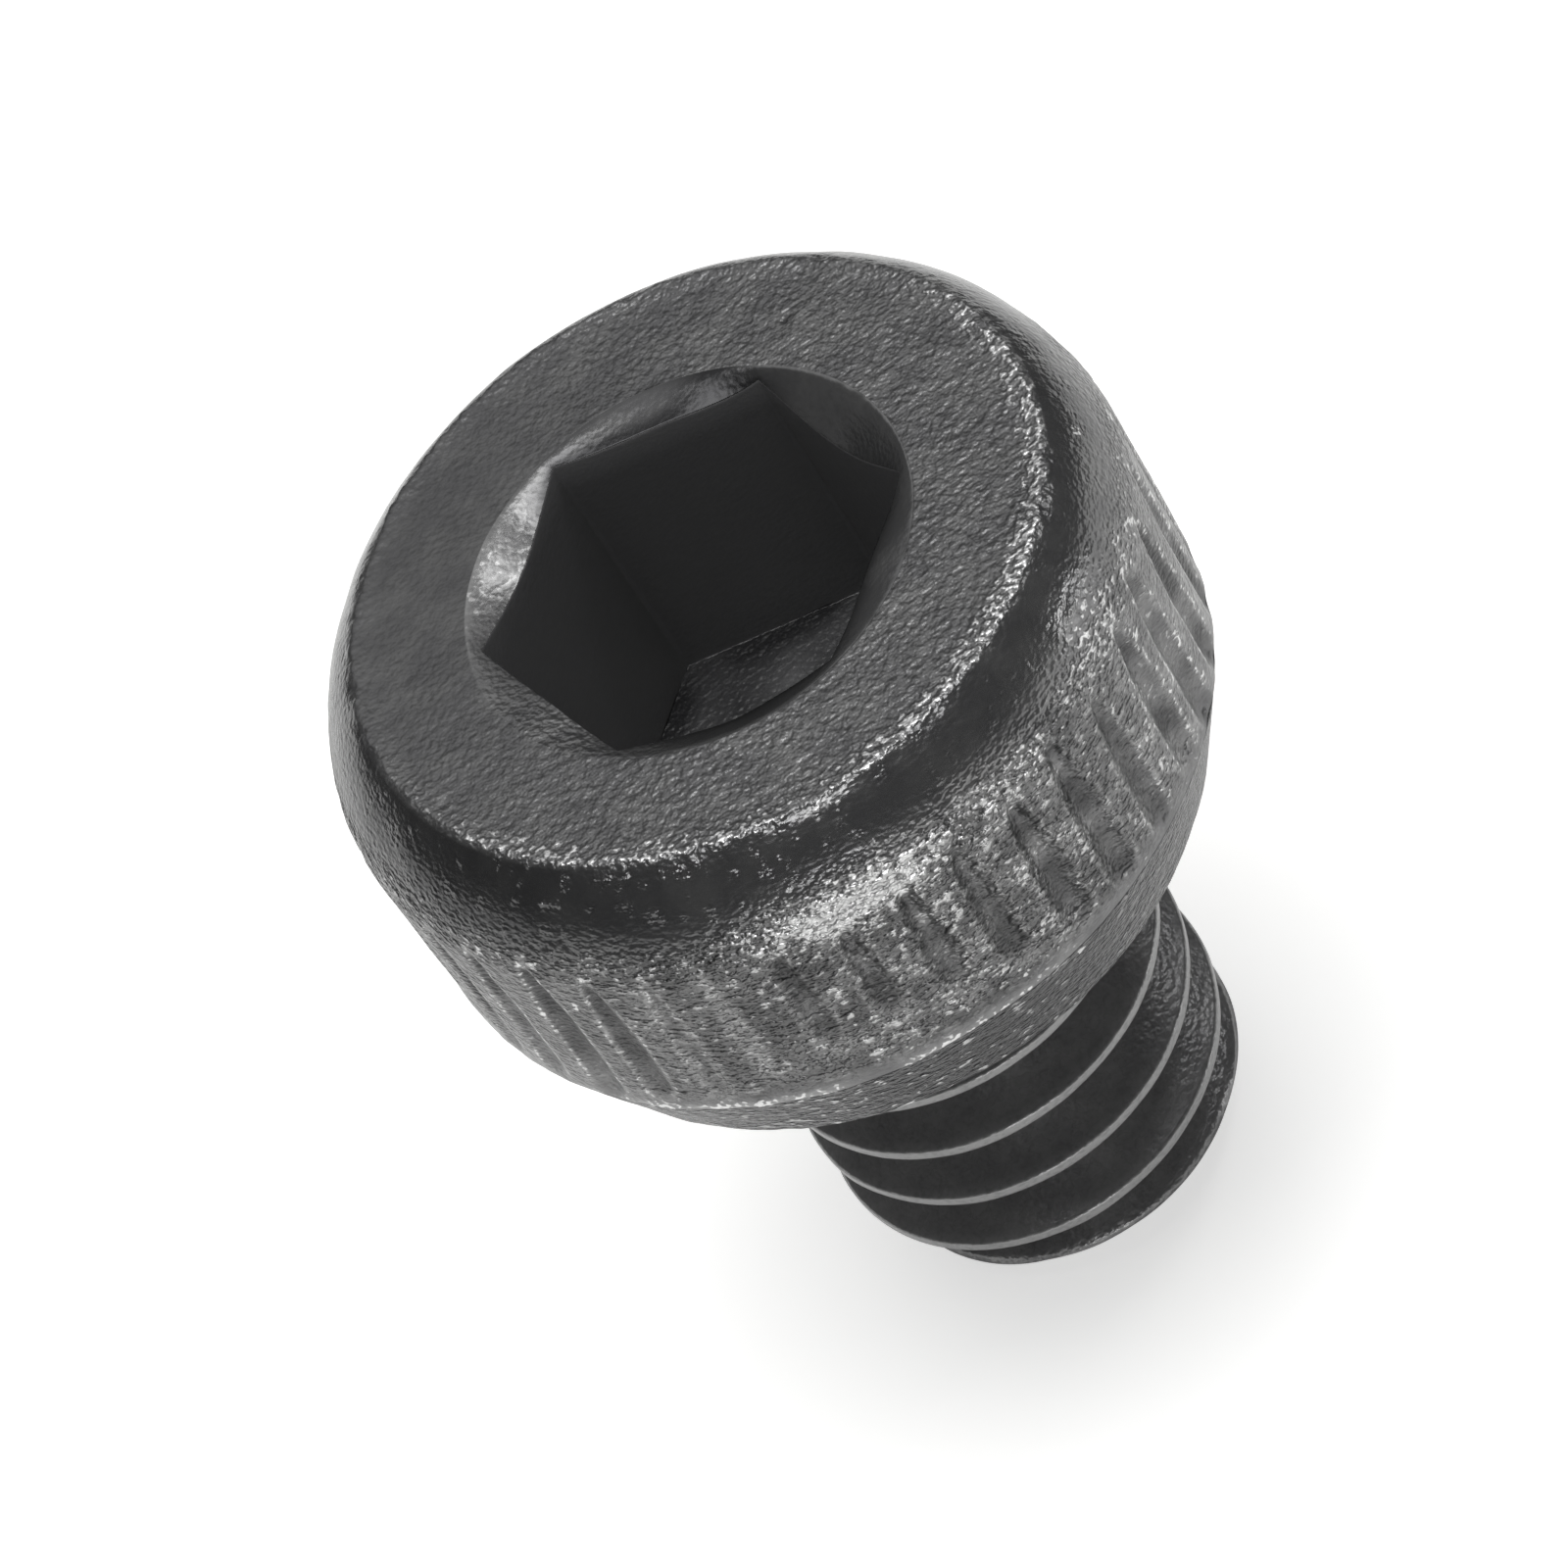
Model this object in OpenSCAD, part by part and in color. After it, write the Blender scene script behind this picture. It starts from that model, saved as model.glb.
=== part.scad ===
// Socket head cap screw with a knurled head and a thread that runs up to the head.
// The origin is the centre of the bearing face under the head. +Z runs up to the crown.

/* [Head] */
// Diameter of the head over the lands between its knurl grooves
head_d = 5.6; // [5.2:0.05:6.2]
// Height of the head above its bearing face
head_h = 2.9; // [2.7:0.05:3.4]
// Diameter of the flat crown on top of the head
crown_d = 4.75; // [4.2:0.01:4.9]
// Height of the rounded shoulder between the crown and the knurl
shoulder_h = 0.86; // [0.5:0.02:1.3]
// Angle of the shoulder's arc from the knurl to the crown's edge
shoulder_arc = 60; // [40:1:85]
// Height of the plain tapered band under the knurl
band_h = 0.82; // [0.4:0.02:1.1]
// Diameter of the bearing face under the head
bearing_d = 4.92; // [4.2:0.02:5.1]

/* [Knurl] */
// Number of straight grooves round the head
groove_count = 40; // [24:1:52]
// Width of a groove at the surface of the head
groove_w = 0.26; // [0.16:0.01:0.3]
// Depth of a groove
groove_depth = 0.07; // [0.04:0.005:0.1]
// Angle of the first groove about the axis
groove_turn = 7.5; // [0:0.5:9]

/* [Socket] */
// Size of the hexagon socket across its flats
socket_af = 2.52; // [2:0.02:2.8]
// Depth of the socket below the crown
socket_depth = 2.25; // [1.3:0.05:2.35]
// Radial width of the countersink at the corners of the hexagon
countersink_w = 0.07; // [0.02:0.01:0.15]
// Angle between the countersink and the crown
countersink_slope = 45; // [30:1:60]
// Angle of one corner of the hexagon about the axis
socket_turn = 45; // [0:1:60]

/* [Shank] */
// Length of the shank below the bearing face
shank_l = 3.9; // [3:0.1:12]
// Outside diameter of the thread
thread_d = 3; // [2.8:0.02:3.3]
// Distance from one turn of the thread to the next
thread_pitch = 0.6; // [0.45:0.01:0.7]
// Angle at which the thread would cross the bearing face
thread_turn = 272; // [0:1:360]
// Length of the plain neck between the head and the thread
neck_l = 0.3; // [0.3:0.05:0.6]
// Radius of the fillet between the neck and the bearing face
fillet_r = 0.2; // [0.18:0.01:0.28]
// Height of the chamfer at the tip of the shank
tip_chamfer = 0.5; // [0.42:0.01:0.6]

/* [Hidden] */

$fn = 96;
overlap = 0.02;

head_r = head_d / 2;
crown_r = crown_d / 2;

// The shoulder is the part of an ellipse from its side up to the crown's edge
shoulder_steps = 10;
shoulder_r = (crown_r - head_r * cos(shoulder_arc)) / (1 - cos(shoulder_arc));
shoulder_rise = shoulder_h / sin(shoulder_arc);
fillet_steps = 4;

socket_corner_r = socket_af / 2 / cos(30);
countersink_r = socket_corner_r + countersink_w;
countersink_rise = tan(countersink_slope);

// A groove is cut by a rod whose chord at the head's surface is the groove's width
groove_cutter_r = (pow(groove_w / 2, 2) + pow(groove_depth, 2)) / (2 * groove_depth);

// The thread has 60 degree flanks, a crest of an eighth of its pitch and a root of a quarter
flank = tan(30);
thread_r = thread_d / 2;
crest_half = thread_pitch / 16;
thread_depth = (thread_pitch * 3 / 8 - crest_half) / flank;
core_r = thread_r - thread_depth;
neck_r = thread_r - thread_depth / 2;
tip_r = thread_r - tip_chamfer;

// The thread is a ridge whose root is sunk this far into the core
root_r = core_r - 0.08;
steps_per_turn = 36;
runout_turns = 0.75;

// Half the height of the ridge at radius r
function half_ridge(r) = crest_half + (thread_r - r) * flank;

// The ridge ends inside the neck at the top and inside the tip's chamfer at the bottom
chamfer_r = tip_r - overlap;
ridge_top_z = half_ridge(root_r) + overlap - neck_l;
ridge_end_z = (core_r - overlap) * (1 + flank) - chamfer_r - crest_half - thread_r * flank - shank_l;
ridge_floor_z = root_r - tip_r + 2 * overlap - shank_l;
ridge_steps = ceil((ridge_top_z - ridge_end_z) / thread_pitch * steps_per_turn);

// Height of the middle of the ridge, i steps up from its lower end
function ridge_z(i) = ridge_end_z + thread_pitch * i / steps_per_turn;

// Radius of the crest's lower (-1) or upper (1) edge, cut by the tip's chamfer and by the
// run-out below the head
function crest_r(i, side) = max(
    root_r + overlap / 2,
    min(
        thread_r,
        (chamfer_r + ridge_z(i) + shank_l + side * half_ridge(0)) / (1 + side * flank),
        neck_r - overlap + thread_depth * (ridge_steps - i) / (steps_per_turn * runout_turns)
    )
);

// A point of the ridge's lower (-1) or upper (1) flank at radius r
function ridge_point(i, r, side) =
    let (a = thread_turn + 360 * ridge_z(i) / thread_pitch)
    [
        r * cos(a),
        r * sin(a),
        max(ridge_z(i) + side * half_ridge(r), ridge_floor_z)
    ];

// The corners of the ridge's section, from its lower root round to its upper root
function ridge_section(i) = [
    ridge_point(i, root_r, -1),
    ridge_point(i, crest_r(i, -1), -1),
    ridge_point(i, crest_r(i, 1), 1),
    ridge_point(i, root_r, 1)
];

// Profile of the head, from the axis out along the bearing face and up to the crown
function head_profile() = concat(
    [[0, 0], [bearing_d / 2, 0], [head_r, band_h]],
    [for (i = [0:shoulder_steps])
        let (a = shoulder_arc * i / shoulder_steps)
        [shoulder_r + (head_r - shoulder_r) * cos(a), head_h - shoulder_h + shoulder_rise * sin(a)]],
    [[0, head_h]]
);

// Profile of the shank's core, from the fillet down past the neck to the flat tip
function core_profile() = concat(
    [[0, overlap], [neck_r + fillet_r, overlap]],
    [for (i = [0:fillet_steps])
        let (a = 90 * i / fillet_steps)
        [neck_r + fillet_r * (1 - sin(a)), -fillet_r * (1 - cos(a))]],
    [
        [neck_r, -neck_l],
        [core_r, -neck_l - (neck_r - core_r)],
        [core_r, core_r - tip_r - shank_l],
        [tip_r, -shank_l],
        [0, -shank_l]
    ]
);

module knurl_grooves() {
    for (i = [0:groove_count - 1])
        rotate([0, 0, groove_turn + 360 * i / groove_count])
            translate([head_r - groove_depth + groove_cutter_r, 0, -overlap])
                cylinder(r = groove_cutter_r, h = head_h, $fn = 24);
}

module hex_socket() {
    translate([0, 0, head_h - socket_depth])
        rotate([0, 0, socket_turn])
            cylinder(r = socket_corner_r, h = socket_depth + overlap, $fn = 6);
    translate([0, 0, head_h - countersink_r * countersink_rise])
        cylinder(
            r1 = 0,
            r2 = countersink_r + overlap,
            h = (countersink_r + overlap) * countersink_rise
        );
}

module head() {
    difference() {
        rotate_extrude() polygon(head_profile());
        knurl_grooves();
        hex_socket();
    }
}

module shank_core() {
    rotate_extrude() polygon(core_profile());
}

module thread_ridge() {
    points = [for (i = [0:ridge_steps]) each ridge_section(i)];
    sides = [
        for (i = [0:ridge_steps - 1], j = [0:3])
            let (a = 4 * i + j, b = 4 * i + (j + 1) % 4)
            each [[a, b, a + 4], [b, b + 4, a + 4]]
    ];
    ends = [[3, 2, 1, 0], [for (j = [0:3]) 4 * ridge_steps + j]];
    polyhedron(points, concat(sides, ends));
}

module screw() {
    color([0.33, 0.33, 0.34])
        union() {
            head();
            shank_core();
            thread_ridge();
        }
}

screw();
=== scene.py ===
"""A socket head cap screw in worn black oxide steel, standing on its tip in a small white studio.

Everything is in metres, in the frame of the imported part: the origin is the centre of the bearing
face under the head, +Z runs up to the crown and -Y is the side that the camera looks at.
"""

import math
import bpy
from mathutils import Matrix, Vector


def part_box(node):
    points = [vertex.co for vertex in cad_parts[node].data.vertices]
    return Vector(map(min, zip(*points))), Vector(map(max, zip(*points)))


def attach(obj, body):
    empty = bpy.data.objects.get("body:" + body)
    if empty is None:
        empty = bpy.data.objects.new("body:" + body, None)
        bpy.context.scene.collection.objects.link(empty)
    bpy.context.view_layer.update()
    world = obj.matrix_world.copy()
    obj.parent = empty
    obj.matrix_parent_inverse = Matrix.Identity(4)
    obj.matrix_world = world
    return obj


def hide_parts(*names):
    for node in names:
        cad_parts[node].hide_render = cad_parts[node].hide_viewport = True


bl_info = {
    "name": "Socket Head Cap Screw",
    "version": (1, 0, 0),
    "blender": (4, 5, 0),
    "location": "View3D > Sidebar > Cap Screw",
    "description": "Builds a worn socket head cap screw and the studio that it stands in",
    "category": "Add Mesh",
}

import bpy
import numpy as np
from bpy.props import FloatProperty, FloatVectorProperty, IntProperty, PointerProperty
from mathutils import Matrix, Vector, noise

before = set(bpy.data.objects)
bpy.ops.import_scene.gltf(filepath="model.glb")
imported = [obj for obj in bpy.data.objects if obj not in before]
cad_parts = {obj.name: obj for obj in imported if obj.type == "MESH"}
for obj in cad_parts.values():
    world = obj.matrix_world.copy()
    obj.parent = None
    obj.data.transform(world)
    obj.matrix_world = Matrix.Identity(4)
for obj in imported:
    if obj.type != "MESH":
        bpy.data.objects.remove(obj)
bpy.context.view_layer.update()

MM = 0.001
NODE = "screw"
BODY = "root"
LOW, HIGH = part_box(NODE)

# Points in each ring of the shank, of the head, of the socket and of the floor
SHANK_COLUMNS = 240
HEAD_COLUMNS = 720
SOCKET_COLUMNS = 360
FLOOR_COLUMNS = 96

# Widths over which corners are rounded, and the thread's root
CORNER = 0.02 * MM
ROOT_CORNER = 0.03 * MM

# How far the thread's ridge is sunk into its core, and how far its upper end overlaps the neck
ROOT_SINK = 0.08 * MM
OVERLAP = 0.02 * MM

# Widths of the lumps that leave the surface uneven
BROAD_LUMP = 1.1 * MM
SMALL_LUMP = 0.34 * MM
FINE_LUMP = 0.12 * MM

# Slope of the countersink above each wall of the socket, from the wall after its first corner
SIDE_SLOPES = (0.25, 0.5, 0.2, 0.7, 0.3, 1.15)

# Places round the screw, each as its angle from +X and its spread, both in degrees. The grooves
# are pressed hardest at the first and harder than elsewhere at the second. They are worn nearly
# away at the third, and low on the knurl at the fourth.
HARDEST_PRESSED = (335, 32)
HARD_PRESSED = (212, 16)
WORN_GROOVES = (240, 11)
BEATEN_KNURL = (258, 24)

# Where the rest of the head's side is worn or rough, where painted highlights lie on it and where
# painted shade darkens it
FRONT = (285, 38)
CLEAN_RIBS = (210, 22)
HEAVY_BURR = (230, 44)
# Two patches on the knurl's knee, worn and painted with highlights in bare steel colour
BRIGHT_PATCH = (263, 11)
SMALL_PATCH = (312, 6)
SHOULDER_FLECKS = (250, 35)
MORE_SHOULDER_FLECKS = (215, 20)
ROUGH_BAND = (255, 42)
# Sides of the head that painted shade darkens
DARK_RIGHT = (352, 20)
DARK_LEFT = (196, 44)
DARK_LOW_LEFT = (222, 22)

# Where the crown and the countersink are worn, smooth or rough, where painted highlights lie on them
# and where painted shade darkens them
RUBBED_LIP = (325, 50)
LESS_RUBBED_LIP = (232, 38)
SMOOTH_CROWN = (140, 55)
DARK_CROWN = (138, 62)
SCRAPED_SIDE = (141, 19)
COARSE_SIDE = (205, 30)
DARK_SIDE = (98, 24)
DARKEST_SIDE = (57, 13)
CLEAN_EDGE = (15, 28)
RUBBED_SIDE = (15, 22)

# The pit in the crown, which painted shade also darkens
PIT_DEGREES = 43
PIT_RADIUS = 1.9 * MM
PIT_WIDTH = 0.04 * MM
PIT_DEPTH = 0.02 * MM

# Painted glints, small spots of bare steel colour, each as its angle round the head in degrees, its
# height and its width in mm
NICKS = (
    (264.9, 2.87, 0.07),
    (267.6, 2.83, 0.06),
    (265.6, 1.91, 0.08),
    (282.9, 1.16, 0.09),
    (282.6, 1.62, 0.08),
    (272.5, 1.17, 0.07),
    (266.6, 1.16, 0.10),
    (283.6, 0.70, 0.07),
    (340.9, 2.71, 0.06),
    (316.8, 2.01, 0.08),
    (216.5, 2.33, 0.06),
    (234.6, 2.40, 0.06),
    (219.4, 1.93, 0.06),
)

# Rings of the flat tip, each as its share of the tip's radius and its height above the end in mm
TIP_RINGS = ((0.3, 0.02), (0.6, 0.014), (0.85, 0.004), (0.95, 0.0), (0.99, 0.004))

# Rings of the crown's lip, each as its distance inside the crown's edge in mm, the share of the
# lip's height that is left there, and how bare it is
LIP_RINGS = (
    (-0.014, 0.1, 0.15),
    (0.0, 0.6, 0.40),
    (0.018, 1.0, 0.60),
    (0.040, 0.8, 0.65),
    (0.070, 0.5, 0.60),
    (0.105, 0.25, 0.45),
    (0.140, 0.1, 0.25),
)

# Rings of the countersink, each as its share of the way down and how much painted shade darkens it
# there
COUNTERSINK_RINGS = (
    (-0.06, 0.0),
    (0.06, 0.0),
    (0.3, 0.0),
    (0.55, 0.2),
    (0.8, 0.55),
    (0.96, 0.85),
    (0.995, 0.95),
)

# Light that the floor adds where it is seen, and the lamps' distance in metres
FLOOR_GLOW = 0.55
LAMP_DISTANCE = 0.16

# Width of the camera's sensor in mm, and the point that it looks at
SENSOR_WIDTH = 36.0
AIM_POINT = Vector((-0.2911, 0.3292, 0.3091)) * MM

# Azimuth and elevation of the room's bright side in degrees, and the cosines to it where that
# side begins and where it is full
BRIGHT_SIDE = (90, 58)
BRIGHT_EDGE = 0.78
BRIGHT_CORE = 0.97

# Kinds of node that are used again and again
MATH = "ShaderNodeMath"
MIX = "ShaderNodeMix"
MAP_RANGE = "ShaderNodeMapRange"

# Sockets of a Mix node by number, since their names repeat: the share of its second value, its
# two values and its result as colours, and its two values as plain numbers
MIX_SHARE = 0
COLOUR_A = 6
COLOUR_B = 7
COLOUR_RESULT = 2
NUMBER_A = 2
NUMBER_B = 3


# Sidebar values ----------------------------------------------


def linear(hex_colour):
    """Linear RGBA of an sRGB hex colour."""
    parts = [int(hex_colour[i : i + 2], 16) / 255 for i in (1, 3, 5)]
    return tuple(c / 12.92 if c <= 0.04045 else ((c + 0.055) / 1.055) ** 2.4 for c in parts) + (1.0,)


def number(name, description, default, **options):
    """A number for the sidebar."""
    return FloatProperty(name=name, description=description, default=default, **options)


def length(name, description, default):
    """A length in metres for the sidebar."""
    return number(name, description, default, unit="LENGTH", precision=6)


def angle(name, description, degrees):
    """An angle for the sidebar, with its default in degrees."""
    return number(name, description, math.radians(degrees), subtype="ANGLE")


def share(name, description, default):
    """A number from 0 to 1 for the sidebar."""
    return number(name, description, default, min=0.0, max=1.0, subtype="FACTOR")


def colour(name, description, default):
    """A colour for the sidebar, with its default written as an sRGB hex value."""
    options = {"size": 4, "min": 0.0, "max": 1.0, "subtype": "COLOR"}
    return FloatVectorProperty(name=name, description=description, default=linear(default), **options)


class ScrewSizes(bpy.types.PropertyGroup):
    """Sizes of the screw, the same as those of the part."""

    head_radius: length("Head radius", "Radius over the lands of the knurl", HIGH.x)
    head_height: length("Head height", "Height of the head above its bearing face", HIGH.z)
    crown_radius: length("Crown radius", "Radius of the flat crown", 2.375 * MM)
    shoulder_height: length("Shoulder height", "Height of the rounded shoulder", 0.86 * MM)
    shoulder_arc: angle("Shoulder arc", "Angle of its arc from the knurl to the crown's edge", 60)
    band_height: length("Band height", "Height of the plain tapered band", 0.82 * MM)
    bearing_radius: length("Bearing radius", "Radius of the bearing face", 2.46 * MM)
    groove_count: IntProperty(
        name="Grooves", description="Number of grooves round the head", default=40, min=12
    )
    groove_width: length("Groove width", "Width of a groove at the surface", 0.26 * MM)
    groove_depth: length("Groove depth", "Depth of a groove", 0.07 * MM)
    groove_turn: angle("Groove turn", "Angle of the first groove about the axis", 7.5)
    socket_flats: length("Socket flats", "Width of the hexagon across its flats", 2.52 * MM)
    socket_depth: length("Socket depth", "Depth of the socket below the crown", 2.25 * MM)
    socket_turn: angle("Socket turn", "Angle of one corner of the hexagon about the axis", 45)
    countersink_width: length("Countersink", "Its radial width at the corners", 0.07 * MM)
    shank_length: length("Shank length", "Length of the shank below the head", -LOW.z)
    thread_radius: length("Thread radius", "Outside radius of the thread", 1.5 * MM)
    thread_pitch: length("Thread pitch", "Distance from one turn to the next", 0.6 * MM)
    thread_turn: angle("Thread turn", "Angle at which the thread would cross the bearing face", 272)
    runout_turns: number("Run-out", "Turns over which the thread runs out", 0.75)
    neck_length: length("Neck length", "Length of the plain neck", 0.3 * MM)
    fillet_radius: length("Fillet radius", "Radius between neck and bearing face", 0.2 * MM)
    tip_chamfer: length("Tip chamfer", "Height of the chamfer at the tip", 0.5 * MM)


class ScrewWear(bpy.types.PropertyGroup):
    """How far forging, knurling and handling have left the surface from its true form."""

    hammered: length("Broad lumps", "Height of the broadest lumps", 0.010 * MM)
    lumps: length("Small lumps", "Height of the small lumps", 0.006 * MM)
    pores: length("Fine lumps", "Height of the finest lumps", 0.006 * MM)
    lip_height: length("Lip height", "Height of the burr round the crown", 0.016 * MM)
    burr_height: length("Burr height", "Height of the burr under the knurl", 0.014 * MM)
    crown_shift: length("Crown shift", "How far the crown's edge is off centre", 0.05 * MM)
    crown_shift_turn: angle("Shift turn", "Direction in which the crown's edge is off centre", 20)
    seed: IntProperty(name="Seed", description="Seed of every uneven place", default=7, min=0)


class ScrewFinish(bpy.types.PropertyGroup):
    """Colours and sizes of the black oxide finish."""

    oxide_colour: colour("Oxide", "Black oxide where it is whole", "#666667")
    thin_oxide_colour: colour("Thin oxide", "Black oxide where it is thinner", "#757575")
    soot_colour: colour("Soot", "Oxide and oil in the socket", "#69696A")
    # The crease colour also paints shade, and the rubbed and steel colours also paint highlights and
    # glints
    crease_colour: colour("Creases", "Oxide in the creases between flakes", "#2A2A2B")
    rubbed_colour: colour("Rubbed oxide", "Oxide rubbed by nuts and fingers", "#949494")
    steel_colour: colour("Bare steel", "Steel where the oxide has worn through", "#D6D6D6")
    oxide_roughness: share("Oxide roughness", "Roughness of the grainy oxide", 0.34)
    smooth_roughness: share("Smooth roughness", "Roughness of the oxide where it is smooth", 0.24)
    steel_roughness: share("Steel roughness", "Roughness of the bare steel", 0.34)
    grain_size: length("Grain size", "Width of the grain left by pickling", 0.045 * MM)
    grain_height: length("Grain height", "Height of that grain", 0.014 * MM)
    flake_size: length("Flake size", "Width of the flakes of oxide on the knurl", 0.10 * MM)
    mottle_size: length("Mottle size", "Width of the mottling of the oxide", 0.35 * MM)


class StudioLook(bpy.types.PropertyGroup):
    """The floor, room, lamps and camera round the screw."""

    floor_colour: colour("Floor", "Colour of the matt white floor", "#F0F0EE")
    floor_radius: length("Floor radius", "Radius of the round floor", 0.6)
    sky_colour: colour("Sky", "Colour of the light from all round", "#FFFFFF")
    sky_strength: number("Sky strength", "Brightness of the room behind the screw", 0.86)
    dark_strength: number("Dark side", "Brightness of the room in front of the screw", 0.15)
    side_strength: number("Side lamp", "Brightness of the softbox at its side", 3.0)
    top_strength: number("Top lamp", "Brightness of the softbox above the screw", 5.5)
    low_strength: number("Low lamps", "Brightness of the two low lamps in front", 10.0)
    lens: number("Lens", "Focal length of the camera", 145.74, subtype="DISTANCE_CAMERA")
    camera_distance: length("Camera distance", "From the aim point to the camera", 42.10 * MM)
    camera_elevation: angle("Camera elevation", "Angle of the camera above the floor", 46.80)
    camera_roll: angle("Camera roll", "Turn of the camera about its own axis", 34.21)


# Small tools -------------------------------------------------


def add_node(tree, kind, settings=(), inputs=(), output=0):
    """Adds a node and returns one of its outputs; an input takes a value or another's output."""
    node = tree.nodes.new(kind)
    for key, value in dict(settings).items():
        setattr(node, key, value)
    for key, value in dict(inputs).items():
        if isinstance(value, bpy.types.NodeSocket):
            tree.links.new(value, node.inputs[key])
        else:
            node.inputs[key].default_value = value
    return node.outputs[output] if node.outputs else None


def new_material(name):
    """A material with an empty node tree, and that tree."""
    material = bpy.data.materials.new(name)
    material.use_nodes = True
    material.node_tree.nodes.clear()
    return material, material.node_tree


def smooth_step(start, end, x):
    """0 before start, 1 past end and smooth between; it falls with x if end is below start."""
    t = np.clip((x - start) / (end - start), 0.0, 1.0)
    return t * t * (3 - 2 * t)


def hump(x, middle, width):
    """1 at the middle, falling smoothly to 0 on both sides over about twice the width."""
    return np.exp(-(((x - middle) / width) ** 2))


def soft_min(a, b, width):
    """The smaller of a and b, with the corner where they meet rounded over width."""
    h = np.clip(0.5 + 0.5 * (b - a) / width, 0.0, 1.0)
    return b + (a - b) * h - width * h * (1 - h)


def soft_max(a, b, width):
    """The larger of a and b, with the corner where they meet rounded over width."""
    return -soft_min(-a, -b, width)


def around(columns):
    """Angles of a ring's points."""
    return np.arange(columns) * 2 * math.pi / columns


def angle_gap(a, b):
    """Signed angle from b to a, in radians between -pi and pi."""
    return (a - b + math.pi) % (2 * math.pi) - math.pi


def near(angles, place):
    """1 in the middle of a place round the screw, falling smoothly to 0 beyond its spread."""
    middle, spread = place
    return hump(angle_gap(angles, math.radians(middle)), 0.0, math.radians(spread))


def ring_points(angles, radii, heights):
    """Points at these angles round the axis, distances from it and heights."""
    angles, radii, heights = np.broadcast_arrays(angles, radii, heights)
    return np.column_stack([radii * np.cos(angles), radii * np.sin(angles), heights])


def lumpiness(points, size, seed):
    """Smooth noise between about -1 and 1 at each point, with features of this size."""
    offset = Vector((seed * 17.3, seed * -9.1, seed * 5.7))
    return np.array([noise.noise(Vector(p) / size + offset) for p in points])


def ring_noise(angles, size, radius, seed):
    """Noise along a ring of this radius, with features of this size."""
    return lumpiness(ring_points(angles, radius, 0.0), size, seed)


# How the finish has fared at a point, unless its ring says otherwise, in this order: worn through
# to the steel, which also carries painted highlights and glints in the steel's colour; burnished,
# which also carries painted highlights; how strong the pickled grain is; where soot and oil lie;
# where the tools have left the surface smooth under its oxide; and darkness, which is darker oxide
# in random clumps and flecks and painted shade elsewhere
MARKS = {"bare": 0.0, "rubbed": 0.0, "grit": 0.3, "soot": 0.0, "gloss": 0.0, "dark": 0.0}


class Skin:
    """A closed skin put together from rings of points, from the tip up and over into the socket."""

    def __init__(self):
        self.points = []
        self.marks = {name: [] for name in MARKS}
        self.faces = []
        self.count = 0

    def add(self, angles, radii, heights, **marks):
        """Adds points with their marks and returns their numbers."""
        added = ring_points(angles, radii, heights)
        self.points.append(added)
        for name, plain in MARKS.items():
            self.marks[name].append(np.broadcast_to(marks.get(name, plain), len(added)))
        numbers = np.arange(self.count, self.count + len(added))
        self.count += len(added)
        return numbers

    def grow(self, ring, angles, radii, heights, **marks):
        """Adds a ring of points, joins it to the one before it and returns it."""
        grown = self.add(angles, radii, heights, **marks)
        self.join(ring, grown)
        return grown

    def join(self, lower, upper):
        """Joins two rings; the finer one has a whole number of points for each of the other's."""
        if len(lower) == len(upper):
            for j in range(len(lower)):
                k = (j + 1) % len(lower)
                self.faces.append((lower[j], lower[k], upper[k], upper[j]))
            return
        coarse, fine = sorted((lower, upper), key=len)
        # A face's corners run the other way round when the finer ring is the lower one
        way = 1 if coarse is lower else -1
        many = len(fine) // len(coarse)
        half = (many + 1) // 2
        for j in range(len(coarse)):
            k = (j + 1) % len(coarse)
            stretch = [fine[(j * many + i) % len(fine)] for i in range(many + 1)]
            for i in range(many):
                end = coarse[j] if i < half else coarse[k]
                self.faces.append((end, stretch[i + 1], stretch[i])[::way])
            self.faces.append((coarse[j], coarse[k], stretch[half])[::way])

    def close(self, ring, pole, upwards):
        """Closes a ring to one point; upwards when the point comes after the ring."""
        n = len(ring)
        for j in range(n):
            k = (j + 1) % n
            face = (ring[j], ring[k], pole[0]) if upwards else (pole[0], ring[k], ring[j])
            self.faces.append(face)


# The screw ---------------------------------------------------


def knurl_push(angles):
    """How hard the knurling wheel was pressed round the head: 1 is the full depth."""
    push = 0.8 + 0.24 * np.cos(angles - math.radians(HARDEST_PRESSED[0]))
    push += 0.35 * near(angles, HARD_PRESSED)
    return push * (1 - 0.8 * near(angles, WORN_GROOVES))


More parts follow.
